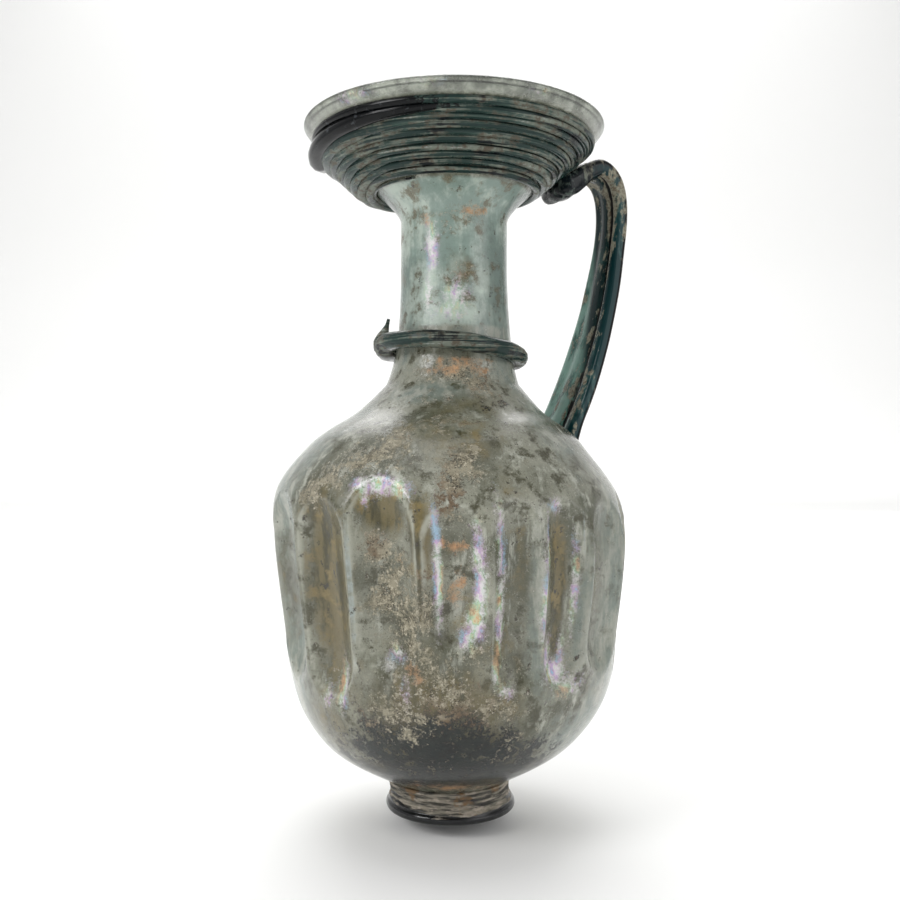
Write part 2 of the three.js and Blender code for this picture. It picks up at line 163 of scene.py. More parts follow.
def dimple_share(azimuth, height):
    """How deep the dimples are at a place, as a share of their full depth."""
    share = np.zeros_like(azimuth)
    for i, (centre, low, high) in enumerate(dimples):
        before = turn_gap(dimples[i - 1][0], centre) / 2
        after = turn_gap(dimples[(i + 1) % len(dimples)][0], centre) / 2
        gap = turn_gap(azimuth, centre)
        across = np.where(gap < 0, gap / before, gap / after)
        beyond = np.maximum(0, np.maximum(low + DIMPLE_END - height, height - high + DIMPLE_END)) / DIMPLE_END
        reach = np.minimum(1, np.hypot(across, beyond))
        share = np.maximum(share, (1 - reach ** 2) ** DIMPLE_ROUNDING)
    return share


def read_points(mesh):
    points = np.empty(len(mesh.vertices) * 3)
    mesh.vertices.foreach_get("co", points)
    return points.reshape(-1, 3) / MM


def write_points(mesh, points):
    mesh.vertices.foreach_set("co", (points * MM).ravel())
    mesh.update()


def add_field(mesh, name, values):
    mesh.attributes.new(name, "FLOAT", "POINT").data.foreach_set("value", values.astype(np.float32))


def add_piece(name, mesh, slot, *nodes):
    """A smooth-shaded piece that rides on the jug and stands for its solids."""
    piece = bpy.data.objects.new(name, mesh)
    bpy.context.collection.objects.link(piece)
    for polygon in mesh.polygons:
        polygon.use_smooth = True
    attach(piece, "root")
    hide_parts(*nodes)


def spun(name, line, steps):
    """A mesh turned round the axis from a line of radii and heights."""
    bm = bmesh.new()
    corners = [bm.verts.new((r * MM, 0, z * MM)) for r, z in line]
    edges = [bm.edges.new(pair) for pair in zip(corners, corners[1:])]
    bmesh.ops.spin(bm, geom=corners + edges, cent=(0, 0, 0), axis=(0, 0, 1), angle=2 * math.pi,
                   steps=steps, use_merge=True)
    bmesh.ops.remove_doubles(bm, verts=bm.verts, dist=0.01 * MM)
    bmesh.ops.recalc_face_normals(bm, faces=bm.faces)
    mesh = bpy.data.meshes.new(name)
    bm.to_mesh(mesh)
    bm.free()
    return mesh


vessel_mesh = spun("vessel_shell", vessel_line, ROUND_STEPS)
points = read_points(vessel_mesh)
azimuth = np.degrees(np.arctan2(points[:, 0], -points[:, 1]))
radius = np.hypot(points[:, 0], points[:, 1])
height = points[:, 2].copy()
hollow = dimple_share(azimuth, height)

# Soft inward unevenness of hand-blown glass, held off at the rim, the seat and the neck's windings.
SWELL = 0.3
SWELL_SIZE = 26.0
SWELL_MEAN = 0.3
SKIN_INSET = 0.45
AXIS_ZONE = 1
loose = smooth(height, 14, 30) * (1 - smooth(height, 168, 176))
swell = np.array([noise.noise(Vector(p) / SWELL_SIZE) for p in points])
sunk = DIMPLE_DEPTH * hollow + SWELL * (SKIN_INSET + loose * (SWELL_MEAN + swell))
new_radius = radius - np.where(radius > AXIS_ZONE, sunk, 0)
scale = np.where(radius > AXIS_ZONE, new_radius / np.maximum(radius, AXIS_ZONE), 1)
points[:, 0] *= scale
points[:, 1] *= scale


PATCH_SOFTNESS = 1.4


def spots(places):
    """A soft field from patches: azimuth, height, half width, half height and strength."""
    total = np.zeros(len(height))
    for centre, level, wide, tall, strength in places:
        across = np.radians(turn_gap(azimuth, centre)) * np.maximum(radius, NECK_RADIUS) / wide
        upward = (height - level) / tall
        total = np.maximum(total, strength * np.exp(-(across ** 2 + upward ** 2) / PATCH_SOFTNESS))
    return total


# Where the weathering and the painted light lie: pearly film whose bright strips along the dimple walls are
# painted highlights as well, brown deposit, tan crust, orange soil, dark staining, the cleaner, clearer
# glass, painted lighter at the body's sides as a sheen, and painted highlights on the ridges between the
# dimples.
PEARL_AND_HIGHLIGHTS = [(-38, 199, 8, 1.6, 0.6), (-8, 199.4, 7, 1.2, 0.45), (30, 199, 5, 1.2, 0.45),
         (-26, 96.5, 3.5, 2.2, 0.9), (-20, 96.3, 4.5, 2.6, 1), (-14, 95.6, 4, 2.4, 0.9),
         (-25.5, 93, 1.6, 3, 0.7), (-3.8, 84, 1.1, 8, 1), (-4, 72, 1.3, 12, 0.95),
         (8, 79, 1.6, 9, 0.9), (8.4, 70, 1.7, 8, 1), (7, 62, 2.4, 5, 1), (4.6, 58.5, 2.4, 3.6, 0.85),
         (14.8, 80, 1.9, 14, 0.72), (14.4, 62, 1.6, 14, 0.85), (13.5, 50, 1.5, 5, 0.8),
         (17, 44, 3, 2.4, 0.7), (29.8, 80, 1.3, 8, 1), (28.6, 66, 1.5, 14, 0.9),
         (31.5, 52, 2.2, 6, 0.9), (35, 47.5, 4.2, 3.4, 1), (38.5, 52, 1.5, 6, 0.7),
         (34.5, 91, 2.6, 2.2, 0.8), (41.5, 70, 1.2, 15, 0.8), (40, 44, 7, 4, 0.6),
         (52.5, 68, 1.4, 13, 0.75), (-38, 44, 3, 7, 0.75), (-45, 40, 2.5, 5, 0.6),
         (-17, 53.5, 3.5, 2, 0.8), (-14, 44, 2, 6, 0.5), (-24, 163, 2.2, 8, 0.9),
         (-28, 150, 1.6, 6, 0.75), (2, 150, 4.5, 3.6, 0.8), (-3, 145, 6, 3, 0.7),
         (150, 80, 1.5, 15, 0.7), (172, 66, 1.4, 16, 0.8), (198, 88, 4, 3, 0.7),
         (226, 66, 1.5, 14, 0.8), (262, 92, 5, 2.6, 0.7), (300, 60, 1.3, 13, 0.7)]
DEPOSIT = [(-41.5, 70, 8, 26, 1), (-44, 88, 6, 8, 0.8), (-20, 90, 6.5, 6, 1), (-8.5, 84, 3, 11, 1),
           (-9, 70, 2, 12, 0.7), (35.5, 70, 3, 17, 1), (36, 56, 2.4, 5, 1), (2, 70, 4, 16, 0.35),
           (-3, 40, 22, 12, 0.75), (57, 66, 5, 18, 0.5), (22, 78, 2.4, 16, 0.45), (3, 108, 22, 7, 0.5),
           (20, 96, 9, 7, 0.4), (-34, 44, 9, 9, 0.5), (-44, 32, 12, 10, 0.6), (6, 118, 14, 5, 0.5),
           (0, 60, 30, 34, 0.35), (8, 158, 5, 6, 0.5), (120, 70, 7, 20, 0.6), (200, 72, 8, 22, 0.7),
           (290, 70, 7, 20, 0.6)]
CRUST = [(-22, 80, 4, 5, 1), (-20, 70, 6, 10, 0.95), (-14, 62, 7, 9, 0.9), (-8, 66, 5, 9, 0.85),
         (-16, 76, 4, 6, 0.85), (2, 97, 4, 5, 1), (6, 103, 5, 4, 0.95), (1, 90, 4, 4, 0.8),
         (10, 98, 3, 4, 0.6), (-46, 94, 5, 4, 0.95), (-38, 99, 7, 4, 0.8), (-28, 103, 10, 5, 0.8),
         (-22, 108, 9, 4, 0.7), (-12, 102, 7, 3, 0.6), (-2, 112, 8, 4, 0.55), (-10, 118, 12, 4, 0.5),
         (-42, 52, 3, 8, 0.5), (-8, 50, 10, 7, 0.75), (0, 42, 15, 8, 0.85), (-16, 38, 12, 9, 0.85),
         (12, 40, 10, 7, 0.75), (4, 31, 18, 6, 0.25), (-24, 30, 10, 6, 0.35), (26, 32, 8, 5, 0.5),
         (40, 97, 3, 3, 0.6), (6, 55, 5, 7, 0.6), (20, 47, 5, 6, 0.5), (-6, 22, 26, 7, 0.3),
         (24, 24, 12, 6, 0.35), (0, 127.5, 12, 3.4, 0.95), (22, 124, 7, 5, 0.8), (-25, 127, 5, 3, 0.7),
         (6, 157, 5, 5, 0.6), (-3, 170, 10, 4, 0.4), (14, 146, 4, 3, 0.6), (170, 100, 16, 9, 0.8),
         (240, 60, 12, 14, 0.7), (130, 40, 16, 9, 0.7), (200, 45, 20, 8, 0.7)]
OCHRE = [(-2.5, 82, 1.5, 1.6, 0.8), (2.2, 81.2, 3, 1.3, 1), (2.6, 73, 2.2, 2.6, 0.8),
         (0.8, 69, 3, 2.6, 0.8), (-12, 50.5, 2.2, 2, 0.9), (-10, 47.5, 2, 1.6, 0.8),
         (-15, 77, 1.6, 1.6, 0.6), (12, 53, 1, 1, 0.7), (22, 173, 4.5, 1.8, 0.85),
         (-30, 171, 2.6, 2, 0.75), (-14, 172, 5, 1.6, 0.45), (10, 130.5, 9, 1.3, 0.8),
         (-8, 128, 6, 2, 0.7), (26, 128, 5, 2, 0.6), (10, 144, 1.8, 1.2, 0.7), (2, 13, 7, 2.4, 0.75),
         (24, 12, 5, 2, 0.6), (-16, 14, 4, 2, 0.5), (185, 96, 5, 3, 0.8)]
DARK = [(0, 20, 30, 8, 1.15), (-8, 31, 19, 9, 1.2), (8, 30, 14, 7, 1), (2, 37, 10, 4, 0.85),
        (-20, 26, 14, 8, 0.9), (22, 25, 14, 7, 0.85), (2, 33, 16, 6, 0.7), (-32, 40, 6, 6, 0.35),
        (-24, 105, 3, 1.4, 0.6), (14, 118, 16, 3, 0.4), (180, 22, 40, 7, 0.7)]
CLEAN_AND_SHEEN = [(-72, 70, 16, 50, 0.9), (-62, 105, 14, 12, 0.6), (27, 62, 3, 26, 0.7), (45, 60, 3, 30, 0.6),
         (66, 60, 12, 45, 0.7), (60, 30, 22, 12, 0.7), (-60, 28, 20, 10, 0.4), (30, 40, 8, 6, 0.4),
         (-14, 121, 14, 3.6, 0.8), (50, 108, 12, 10, 0.5), (0, 152, 90, 18, 0.5),
         (55, 150, 14, 26, 0.9), (-60, 150, 12, 26, 0.7)]
# Pale lines on the ridges between the dimples, which are painted highlights: azimuth, height, half width,
# half height and strength.
RIDGE_HIGHLIGHTS = [(-30.5, 70, 0.55, 26, 1), (46.5, 68, 0.5, 22, 0.9), (-9.5, 80, 0.35, 10, 0.5),
          (11.5, 66, 0.4, 16, 0.4), (27.8, 62, 0.4, 20, 0.5), (-52, 66, 0.6, 20, 0.45),
          (44, 84, 0.5, 10, 0.6)]
deposit = np.maximum(spots(DEPOSIT), 0.3 * hollow)
# A band round each dimple's edge, where pale painted highlights go.
rim = bell(hollow, 0.16, 0.18) * smooth(hollow, 0.005, 0.05)
# Darker under the windings of the mouth trail, and painted shade on the sides of the throat's flare just
# below them.
wound = smooth(height, 181, 183.5) * (1 - smooth(height, 195, 197.5))
shaded_flare = smooth(np.abs(azimuth), 55, 85) * smooth(height, 172.5, 176.5) * (1 - smooth(height, 180, 184))
neck = smooth(height, 138, 142) * (1 - smooth(height, 180.5, 182.5))
fields = {"pearl_and_highlight": spots(PEARL_AND_HIGHLIGHTS), "deposit": deposit, "crust": spots(CRUST), "ochre": spots(OCHRE),
          "dark": spots(DARK), "clean_and_sheen": spots(CLEAN_AND_SHEEN), "wound": np.maximum(wound, shaded_flare),
          "lip": smooth(height, 196.5, 198), "neck": neck, "ridge_highlight": spots(RIDGE_HIGHLIGHTS), "rim": rim}
for name, values in fields.items():
    add_field(vessel_mesh, name, values)
points[:, 0] += lean(height)
write_points(vessel_mesh, points)
add_piece("vessel_glass", vessel_mesh, "blown_glass", "vessel")


def colour(code):
    """The linear colour of an sRGB hex code."""
    parts = [int(code[i:i + 2], 16) / 255 for i in (0, 2, 4)]
    return tuple(c / 12.92 if c <= 0.04045 else ((c + 0.055) / 1.055) ** 2.4 for c in parts) + (1,)


def add(tree, kind, settings, links={}):
    """A new node with its settings and with links into its inputs."""
    node = tree.nodes.new("ShaderNode" + kind)
    for key, value in settings.items():
        if isinstance(key, str) and hasattr(node, key):
            setattr(node, key, value)
        else:
            node.inputs[key].default_value = value
    for key, source in links.items():
        tree.links.new(source, node.inputs[key])
    return node


def new_material(name):
    material = bpy.data.materials.new(name)
    material.use_nodes = True
    tree = material.node_tree
    tree.nodes.clear()
    return material, tree


def grain(tree, place, size, detail=4, rough=0.55, stretch=(1, 1, 1)):
    """Mottling whose patches are about a size in millimetres, optionally drawn out."""
    mapping = add(tree, "Mapping", {"Scale": stretch}, {"Vector": place})
    return add(tree, "TexNoise", {"Scale": 1 / (size * MM), "Detail": detail, "Roughness": rough},
               {"Vector": mapping.outputs[0]}).outputs[0]


def edge(tree, value, low, high):
    """A value turned to a mask that rises from 0 to 1 between two levels."""
    return add(tree, "MapRange", {"interpolation_type": "SMOOTHSTEP", "From Min": low, "From Max": high},
               {"Value": value}).outputs[0]


def sum_of(tree, a, b, share=1.0):
    return add(tree, "Math", {"operation": "MULTIPLY_ADD", 1: share}, {0: b, 2: a}).outputs[0]


def over(tree, under, top, mask):
    """A colour, or another link, laid over a first one where the mask is 1."""
    links = {0: mask}
    settings = {"data_type": "RGBA"}
    for key, part in ((6, under), (7, top)):
        if isinstance(part, tuple):
            settings[key] = part
        else:
            links[key] = part
    return add(tree, "Mix", settings, links).outputs[2]


def less(tree, value, mask, keep):
    """A value drawn towards another one where the mask is 1."""
    return add(tree, "Mix", {"data_type": "FLOAT", 3: keep}, {0: mask, 2: value}).outputs[0]


def scaled(tree, value, share):
    return add(tree, "Math", {"operation": "MULTIPLY", 1: share}, {0: value}).outputs[0]


def highest(tree, a, b):
    return add(tree, "Math", {"operation": "MAXIMUM"}, {0: a, 1: b}).outputs[0]


def unsigned(tree, value):
    """A value without its sign."""
    return add(tree, "Math", {"operation": "ABSOLUTE"}, {0: value}).outputs[0]


def fields_of(tree, names):
    """Links to the fields that a mesh carries, by name."""
    return {name: add(tree, "Attribute", {"attribute_name": name}).outputs["Fac"] for name in names}


# Buried soda-lime glass, once clear pale green. The years have given it a milky grey-green skin, thin
# pearly layers that show pink, green and gold, brown deposits, and gritty tan and orange soil. Painted
# highlights lie along the dimple walls, on the ridges and round the dimples' edges, with a painted sheen
# at the body's sides and painted shade on the throat's flare.
GLASS_IOR = 1.5
glass, tree = new_material("weathered_soda_lime_glass")
place = add(tree, "TexCoord", {}).outputs["Object"]
field = fields_of(tree, fields)
broad = grain(tree, place, 22, 5, 0.6)
patchy = grain(tree, place, 6, 7, 0.66)
flaky = grain(tree, place, 2.6, 6, 0.7)
gritty = grain(tree, place, 0.9, 4, 0.7)
streaks = grain(tree, place, 4, 6, 0.65, (1, 1, 0.25))
skin = over(tree, colour("5E6050"), colour("929384"), edge(tree, broad, 0.4, 0.6))
skin = over(tree, skin, colour("B0B2A5"), edge(tree, streaks, 0.53, 0.67))
skin = over(tree, skin, colour("474633"), edge(tree, patchy, 0.48, 0.36))
sandy = grain(tree, place, 0.4, 3, 0.7)
specks = sum_of(tree, sandy, flaky, 0.8)
skin = over(tree, skin, colour("C2C0B0"), edge(tree, specks, 0.98, 1.24))
skin = over(tree, skin, colour("35321F"), edge(tree, specks, 0.84, 0.6))
# Cleaner, clearer glass with a lighter skin, which at the body's left and right sides is a painted sheen.
clean_and_sheen_mask = edge(tree, sum_of(tree, sum_of(tree, field["clean_and_sheen"], patchy, 1.2), gritty, 0.4), 1.05, 1.6)
clean_and_sheen_skin = over(tree, colour("93A097"), colour("C6C9BC"), edge(tree, streaks, 0.42, 0.6))
skin = over(tree, skin, clean_and_sheen_skin, clean_and_sheen_mask)
neck_mask = edge(tree, sum_of(tree, field["neck"], flaky, 0.5), 0.75, 1.15)
neck_skin = over(tree, colour("81948B"), colour("B2BFB4"),
                 edge(tree, sum_of(tree, broad, streaks, 0.6), 0.7, 0.9))
neck_skin = over(tree, neck_skin, colour("73705B"), edge(tree, patchy, 0.52, 0.64))
skin = over(tree, skin, neck_skin, neck_mask)
lip_skin = over(tree, colour("A9AEA2"), colour("6E7269"), edge(tree, patchy, 0.43, 0.58))
skin = over(tree, skin, lip_skin, field["lip"])
# Darker under the windings, with painted shade on the sides of the flare below them.
skin = over(tree, skin, colour("3A4743"), scaled(tree, field["wound"], 0.85))
brown_mask = edge(tree, sum_of(tree, field["deposit"], patchy, 0.9), 0.62, 1.25)
brown = over(tree, colour("6C6240"), colour("45422A"), edge(tree, streaks, 0.42, 0.58))
brown = over(tree, brown, colour("86764A"), edge(tree, patchy, 0.52, 0.66))
skin = over(tree, skin, brown, brown_mask)
# Pale painted highlights round the dimples' edges, faded out in places by the broad mottling.
rim_mask = edge(tree, sum_of(tree, sum_of(tree, field["rim"], patchy, 1.2), broad, 2.2), 2.2, 3.1)
skin = over(tree, skin, colour("B4B6A8"), scaled(tree, rim_mask, 0.8))
# Pale painted highlights along the ridges between the dimples.
ridge_highlight_mask = edge(tree, sum_of(tree, field["ridge_highlight"], flaky, 0.7), 0.75, 1.1)
skin = over(tree, skin, colour("A4AEAA"), ridge_highlight_mask)
stain_mask = edge(tree, sum_of(tree, sum_of(tree, field["dark"], patchy, 1.4), gritty, 0.8), 1.4, 1.95)
stain = over(tree, colour("4A4533"), colour("2C302A"), edge(tree, patchy, 0.45, 0.56))
skin = over(tree, skin, stain, stain_mask)
ragged = sum_of(tree, sum_of(tree, field["dark"], patchy, 2.4), flaky, 1.8)
dark_mask = edge(tree, sum_of(tree, sum_of(tree, ragged, gritty, 0.9), sandy, 0.9), 3.5, 3.75)
dark = over(tree, colour("1F2520"), colour("0D1816"), edge(tree, patchy, 0.44, 0.58))
dark = over(tree, dark, colour("080906"), edge(tree, sum_of(tree, flaky, gritty, 0.6), 0.76, 0.9))
skin = over(tree, skin, dark, dark_mask)
speckle = edge(tree, sum_of(tree, flaky, field["deposit"], 0.06), 0.63, 0.68)
skin = over(tree, skin, colour("3B382C"), speckle)
flecks = edge(tree, sum_of(tree, sum_of(tree, field["crust"], flaky, 2.2), patchy, 0.8), 2.4, 2.65)
skin = over(tree, skin, colour("9D9888"), flecks)
crusty = sum_of(tree, sum_of(tree, gritty, field["crust"], 0.62), patchy, 1.0)
crust_mask = edge(tree, sum_of(tree, crusty, flaky, 0.9), 1.74, 2.02)
soil = over(tree, colour("716A56"), colour("8F8976"), edge(tree, flaky, 0.4, 0.62))
soil = over(tree, soil, colour("B4AD9A"), edge(tree, sum_of(tree, gritty, sandy, 0.6), 0.84, 0.98))
soil = over(tree, soil, colour("675743"), edge(tree, broad, 0.5, 0.62))
soil = over(tree, soil, colour("2A251C"), edge(tree, sum_of(tree, sandy, flaky, 0.6), 0.79, 0.66))
skin = over(tree, skin, soil, crust_mask)
ochre_mask = edge(tree, sum_of(tree, sum_of(tree, field["ochre"], flaky, 1.8), sandy, 0.9), 1.68, 2.3)
ochre = over(tree, colour("B28C68"), colour("8F7052"), edge(tree, gritty, 0.46, 0.6))
skin = over(tree, skin, ochre, ochre_mask)
# Pearly film in pastel colours; its bright strips along the dimple walls are painted highlights as well.
film_and_highlight_field = sum_of(tree, sum_of(tree, field["pearl_and_highlight"], gritty, 1.0), flaky, 0.9)
film_and_highlight_mask = edge(tree, sum_of(tree, film_and_highlight_field, sandy, 0.6), 1.5, 2.3)
hues = sum_of(tree, grain(tree, place, 4, 3, 0.5, (1, 1, 0.5)), gritty, 0.25)
film_and_highlight_ramp = add(tree, "ValToRGB", {}, {"Fac": hues})
FILM_AND_HIGHLIGHT_HUES = [(0.46, "CFA47C"), (0.52, "D0CDA8"), (0.565, "A2C8A5"), (0.6, "D2D6D3"), (0.66, "DED9DB"),
             (0.705, "C6A4CB"), (0.77, "9CBAD2")]
for _ in range(len(FILM_AND_HIGHLIGHT_HUES) - 2):
    film_and_highlight_ramp.color_ramp.elements.new(0.5)
for element, (position, code) in zip(film_and_highlight_ramp.color_ramp.elements, FILM_AND_HIGHLIGHT_HUES):
    element.position = position
    element.color = colour(code)
skin = over(tree, skin, film_and_highlight_ramp.outputs[0], film_and_highlight_mask)
opaque = highest(tree, highest(tree, crust_mask, ochre_mask), flecks)
clear = sum_of(tree, scaled(tree, clean_and_sheen_mask, 0.3), patchy, 0.35)
clear = less(tree, clear, field["lip"], 0.75)
clear = less(tree, clear, opaque, 0.0)
clear = less(tree, clear, film_and_highlight_mask, 0.08)
rough = less(tree, edge(tree, patchy, 0.1, 1.7), opaque, 0.78)
rough = less(tree, rough, brown_mask, 0.2)
rough = less(tree, rough, film_and_highlight_mask, 0.2)
relief = sum_of(tree, sum_of(tree, gritty, opaque, 1.0), flaky, 0.6)
bump = add(tree, "Bump", {"Strength": 0.4, "Distance": 0.3 * MM}, {"Height": relief})
SKIN_SHINE = 0.22
shine = add(tree, "MapRange", {"From Min": 0, "From Max": 1, "To Min": SKIN_SHINE, "To Max": 0},
            {"Value": opaque}).outputs[0]
shader = add(tree, "BsdfPrincipled", {"IOR": GLASS_IOR, "Coat Roughness": 0.1},
             {"Base Color": skin, "Transmission Weight": clear, "Roughness": rough, "Coat Weight": shine,
              "Normal": bump.outputs[0]})
add(tree, "OutputMaterial", {}, {"Surface": shader.outputs[0]})
vessel_mesh.materials.append(glass)

# Mouth trail. A thread of dark teal glass wound hot round the funnel in one spiral, from a thick gob
# on the left down to a thin end at the throat. Each winding is half sunk in the wall.
THREAD_RADIUS = 1.15
THREAD_PITCH = 2.3
THREAD_RISE = 0.55
THREAD_WOBBLE = 0.35
THREAD_TURNS = 10.2
TRAIL_START = -100
TRAIL_TOP = 0.3
STEPS_PER_TURN = 80
CORD_RESOLUTION = 4
DARK_RUN = (45, 95)
wall_line = np.array((neck_line[-3:] + throat_line[1:] + funnel_line + lip_line[:1])[::-1])
wall_run = np.concatenate([[0], np.cumsum(np.linalg.norm(np.diff(wall_line, axis=0), axis=1))])
wall_along = np.gradient(wall_line, axis=0)
wall_along /= np.linalg.norm(wall_along, axis=1)[:, None]


def on_funnel(angle, down, off):
    """A place on the funnel: azimuth, distance down its wall from the lip and distance off it."""
    r, z, step_r, step_z = (np.interp(down, wall_run, line) for line in (*wall_line.T, *wall_along.T))
    r, z = r - off * step_z, z + off * step_r
    turned = math.radians(angle)
    return Vector((r * math.sin(turned) + lean(z), -r * math.cos(turned), z)) * MM


def cord(route, widths, darkness, closed=False):
    """A round cord of glass along a route, with its radius at each point. Its fields tell the distance
    along it and how dark it is there, which fades after the first few centimetres. Where a cord is
    open, one more ring of points closes each of its ends."""
    curve = bpy.data.curves.new("cord", "CURVE")
    curve.dimensions = "3D"
    curve.bevel_depth = MM
    curve.bevel_resolution = CORD_RESOLUTION
    curve.use_fill_caps = True
    spline = curve.splines.new("POLY")
    spline.points.add(len(route) - 1)
    spline.use_cyclic_u = closed
    for point, spot, width in zip(spline.points, route, widths):
        point.co = (*spot, 1)
        point.radius = width
    holder = bpy.data.objects.new("cord", curve)
    bpy.context.collection.objects.link(holder)
    mesh = bpy.data.meshes.new_from_object(holder.evaluated_get(bpy.context.evaluated_depsgraph_get()))
    bpy.data.objects.remove(holder)
    bpy.data.curves.remove(curve)
    run = np.concatenate([[0], np.cumsum([(b - a).length / MM for a, b in zip(route, route[1:])])])
    sides = len(mesh.vertices) // (len(route) if closed else len(route) + 2)
    along = np.repeat(run if closed else np.concatenate([run, run[:1], run[-1:]]), sides)
    add_field(mesh, "along", along)
    add_field(mesh, "gob", darkness * (1 - smooth(along, *DARK_RUN)))
    return mesh


def joined(name, cords):
    """One mesh from several cords, with doubled points merged."""
    bm = bmesh.new()
    for mesh in cords:
        bm.from_mesh(mesh)
    bmesh.ops.remove_doubles(bm, verts=bm.verts, dist=0.001 * MM)
    bmesh.ops.recalc_face_normals(bm, faces=bm.faces)
    whole = bpy.data.meshes.new(name)
    bm.to_mesh(whole)
    bm.free()
    return whole


THREAD_UNEVEN = 0.22
steps = round(THREAD_TURNS * STEPS_PER_TURN)
route, widths = [], []
for i in range(steps + 1):
    turn = i / STEPS_PER_TURN
    wander = noise.noise(Vector((turn * 2.4, 0.3 * turn, 4.1)))
    down = TRAIL_TOP + THREAD_PITCH * turn + THREAD_WOBBLE * wander
    route.append(on_funnel(TRAIL_START + 360 * turn, down, THREAD_RISE))
    taper = min(1, 0.3 + (steps - i) / STEPS_PER_TURN, 0.4 + i / 20)
    uneven = 1 + THREAD_UNEVEN * noise.noise(Vector((turn * 3.3, 7, 0)))
    widths.append(THREAD_RADIUS * taper * uneven)
cords = [cord(route, widths, 1)]

# The thick gob where the thread was first set down, and thick stretches of its next windings: azimuth
# of the start, angle it runs, share of that where it is thickest, distance down the funnel, radius and
# rise off the wall there, and darkness.
GOB_STEPS = 70
GOBS = [(TRAIL_START, 118, 0, 4.2, 3.7, 3.3, 1), (-165, 190, 0.4, 7.6, 2.5, 1.9, 0.4),
        (-175, 175, 0.45, 10.6, 2.2, 1.7, 0.15), (-175, 170, 0.45, 13.4, 2.0, 2.0, 0.15),
        (-175, 165, 0.45, 16, 1.9, 2.3, 0.15), (-175, 160, 0.45, 18.6, 1.8, 2.5, 0.15),
        (-175, 155, 0.45, 21, 1.7, 2.4, 0.15), (-170, 140, 0.45, 23.4, 1.5, 1.6, 0.15)]
GOB_CLIMB = 1.9
GOB_SINK = 0.6
GOB_THIN = 0.7
GOB_UNEVEN = 0.08


def swelling(share, peak):
    """How thick a stretch is along its run, from 1 at its peak down to 0 where it is plain thread."""
    if not peak:
        return 1 - share ** 0.8
    return (1 - smooth(share, peak, 1)) * smooth(share, min(0, peak - 0.45), peak)


for start, turn, peak, down, thick, rise, darkness in GOBS:
    route, widths = [], []
    for share in np.arange(GOB_STEPS + 1) / GOB_STEPS:
        full = swelling(share, peak)
        off = mix(THREAD_RISE - GOB_SINK, rise, full)
        route.append(on_funnel(start + turn * share, down - GOB_CLIMB * share, off))
        rounded = 1 if peak else min(1, 0.45 + share * 7)
        uneven = 1 + GOB_UNEVEN * noise.noise(Vector((share * 9, down, 2)))
        widths.append(mix(THREAD_RADIUS * GOB_THIN, thick, full) * rounded * uneven)
    cords.append(cord(route, widths, darkness))
trail_mesh = joined("mouth_trail_glass", cords)
add_piece("mouth_trail_glass", trail_mesh, "trail_glass", "mouth_trail")

# Strongly coloured teal glass, almost black where it is thick, drawn out in fine lines along the
# thread, under a grey-brown weathered skin that has flaked off in places.
threads, tree = new_material("dark_teal_trailed_glass")
place = add(tree, "TexCoord", {}).outputs["Object"]
level = add(tree, "SeparateXYZ", {}, {"Vector": place}).outputs["Z"]
field = fields_of(tree, ("along", "gob"))
LINE_LENGTH = 30.0
LINE_WIDTH = 1.0
drawn = add(tree, "CombineXYZ", {}, {0: scaled(tree, field["along"], 1 / LINE_LENGTH),
                                     1: scaled(tree, level, 1 / (LINE_WIDTH * MM))}).outputs[0]
lines = add(tree, "TexNoise", {"Scale": 1.0, "Detail": 5, "Roughness": 0.6}, {"Vector": drawn}).outputs[0]
patchy = grain(tree, place, 9, 5, 0.6)
flaky = grain(tree, place, 2.2, 5, 0.65)
gritty = grain(tree, place, 0.9, 4, 0.7)
shade = over(tree, colour("1F302D"), colour("3C4E48"), edge(tree, lines, 0.44, 0.6))
grey_mask = edge(tree, sum_of(tree, sum_of(tree, patchy, lines, 1.6), flaky, 0.5), 1.47, 1.7)
grey = over(tree, colour("6E746A"), colour("544E43"), edge(tree, flaky, 0.45, 0.6))
shade = over(tree, shade, grey, grey_mask)
glints = edge(tree, sum_of(tree, lines, gritty, 0.5), 0.87, 0.96)
shade = over(tree, shade, colour("8B918B"), glints)
shade = over(tree, shade, colour("121719"), edge(tree, sum_of(tree, patchy, lines, -1.0), 0.1, 0.2))
gob_mask = edge(tree, sum_of(tree, field["gob"], flaky, 1.2), 0.95, 1.1)
black = over(tree, colour("07090B"), colour("34373A"), edge(tree, flaky, 0.6, 0.68))
shade = over(tree, shade, black, gob_mask)
rough = less(tree, edge(tree, patchy, -0.3, 2.4), grey_mask, 0.55)
rough = less(tree, rough, gob_mask, 0.12)
bump = add(tree, "Bump", {"Strength": 0.5, "Distance": 0.25 * MM},
           {"Height": sum_of(tree, lines, flaky, 0.3)})
shader = add(tree, "BsdfPrincipled", {"IOR": GLASS_IOR, "Specular IOR Level": 0.18},
             {"Base Color": shade, "Roughness": rough, "Normal": bump.outputs[0]})
add(tree, "OutputMaterial", {}, {"Surface": shader.outputs[0]})
trail_mesh.materials.append(threads)

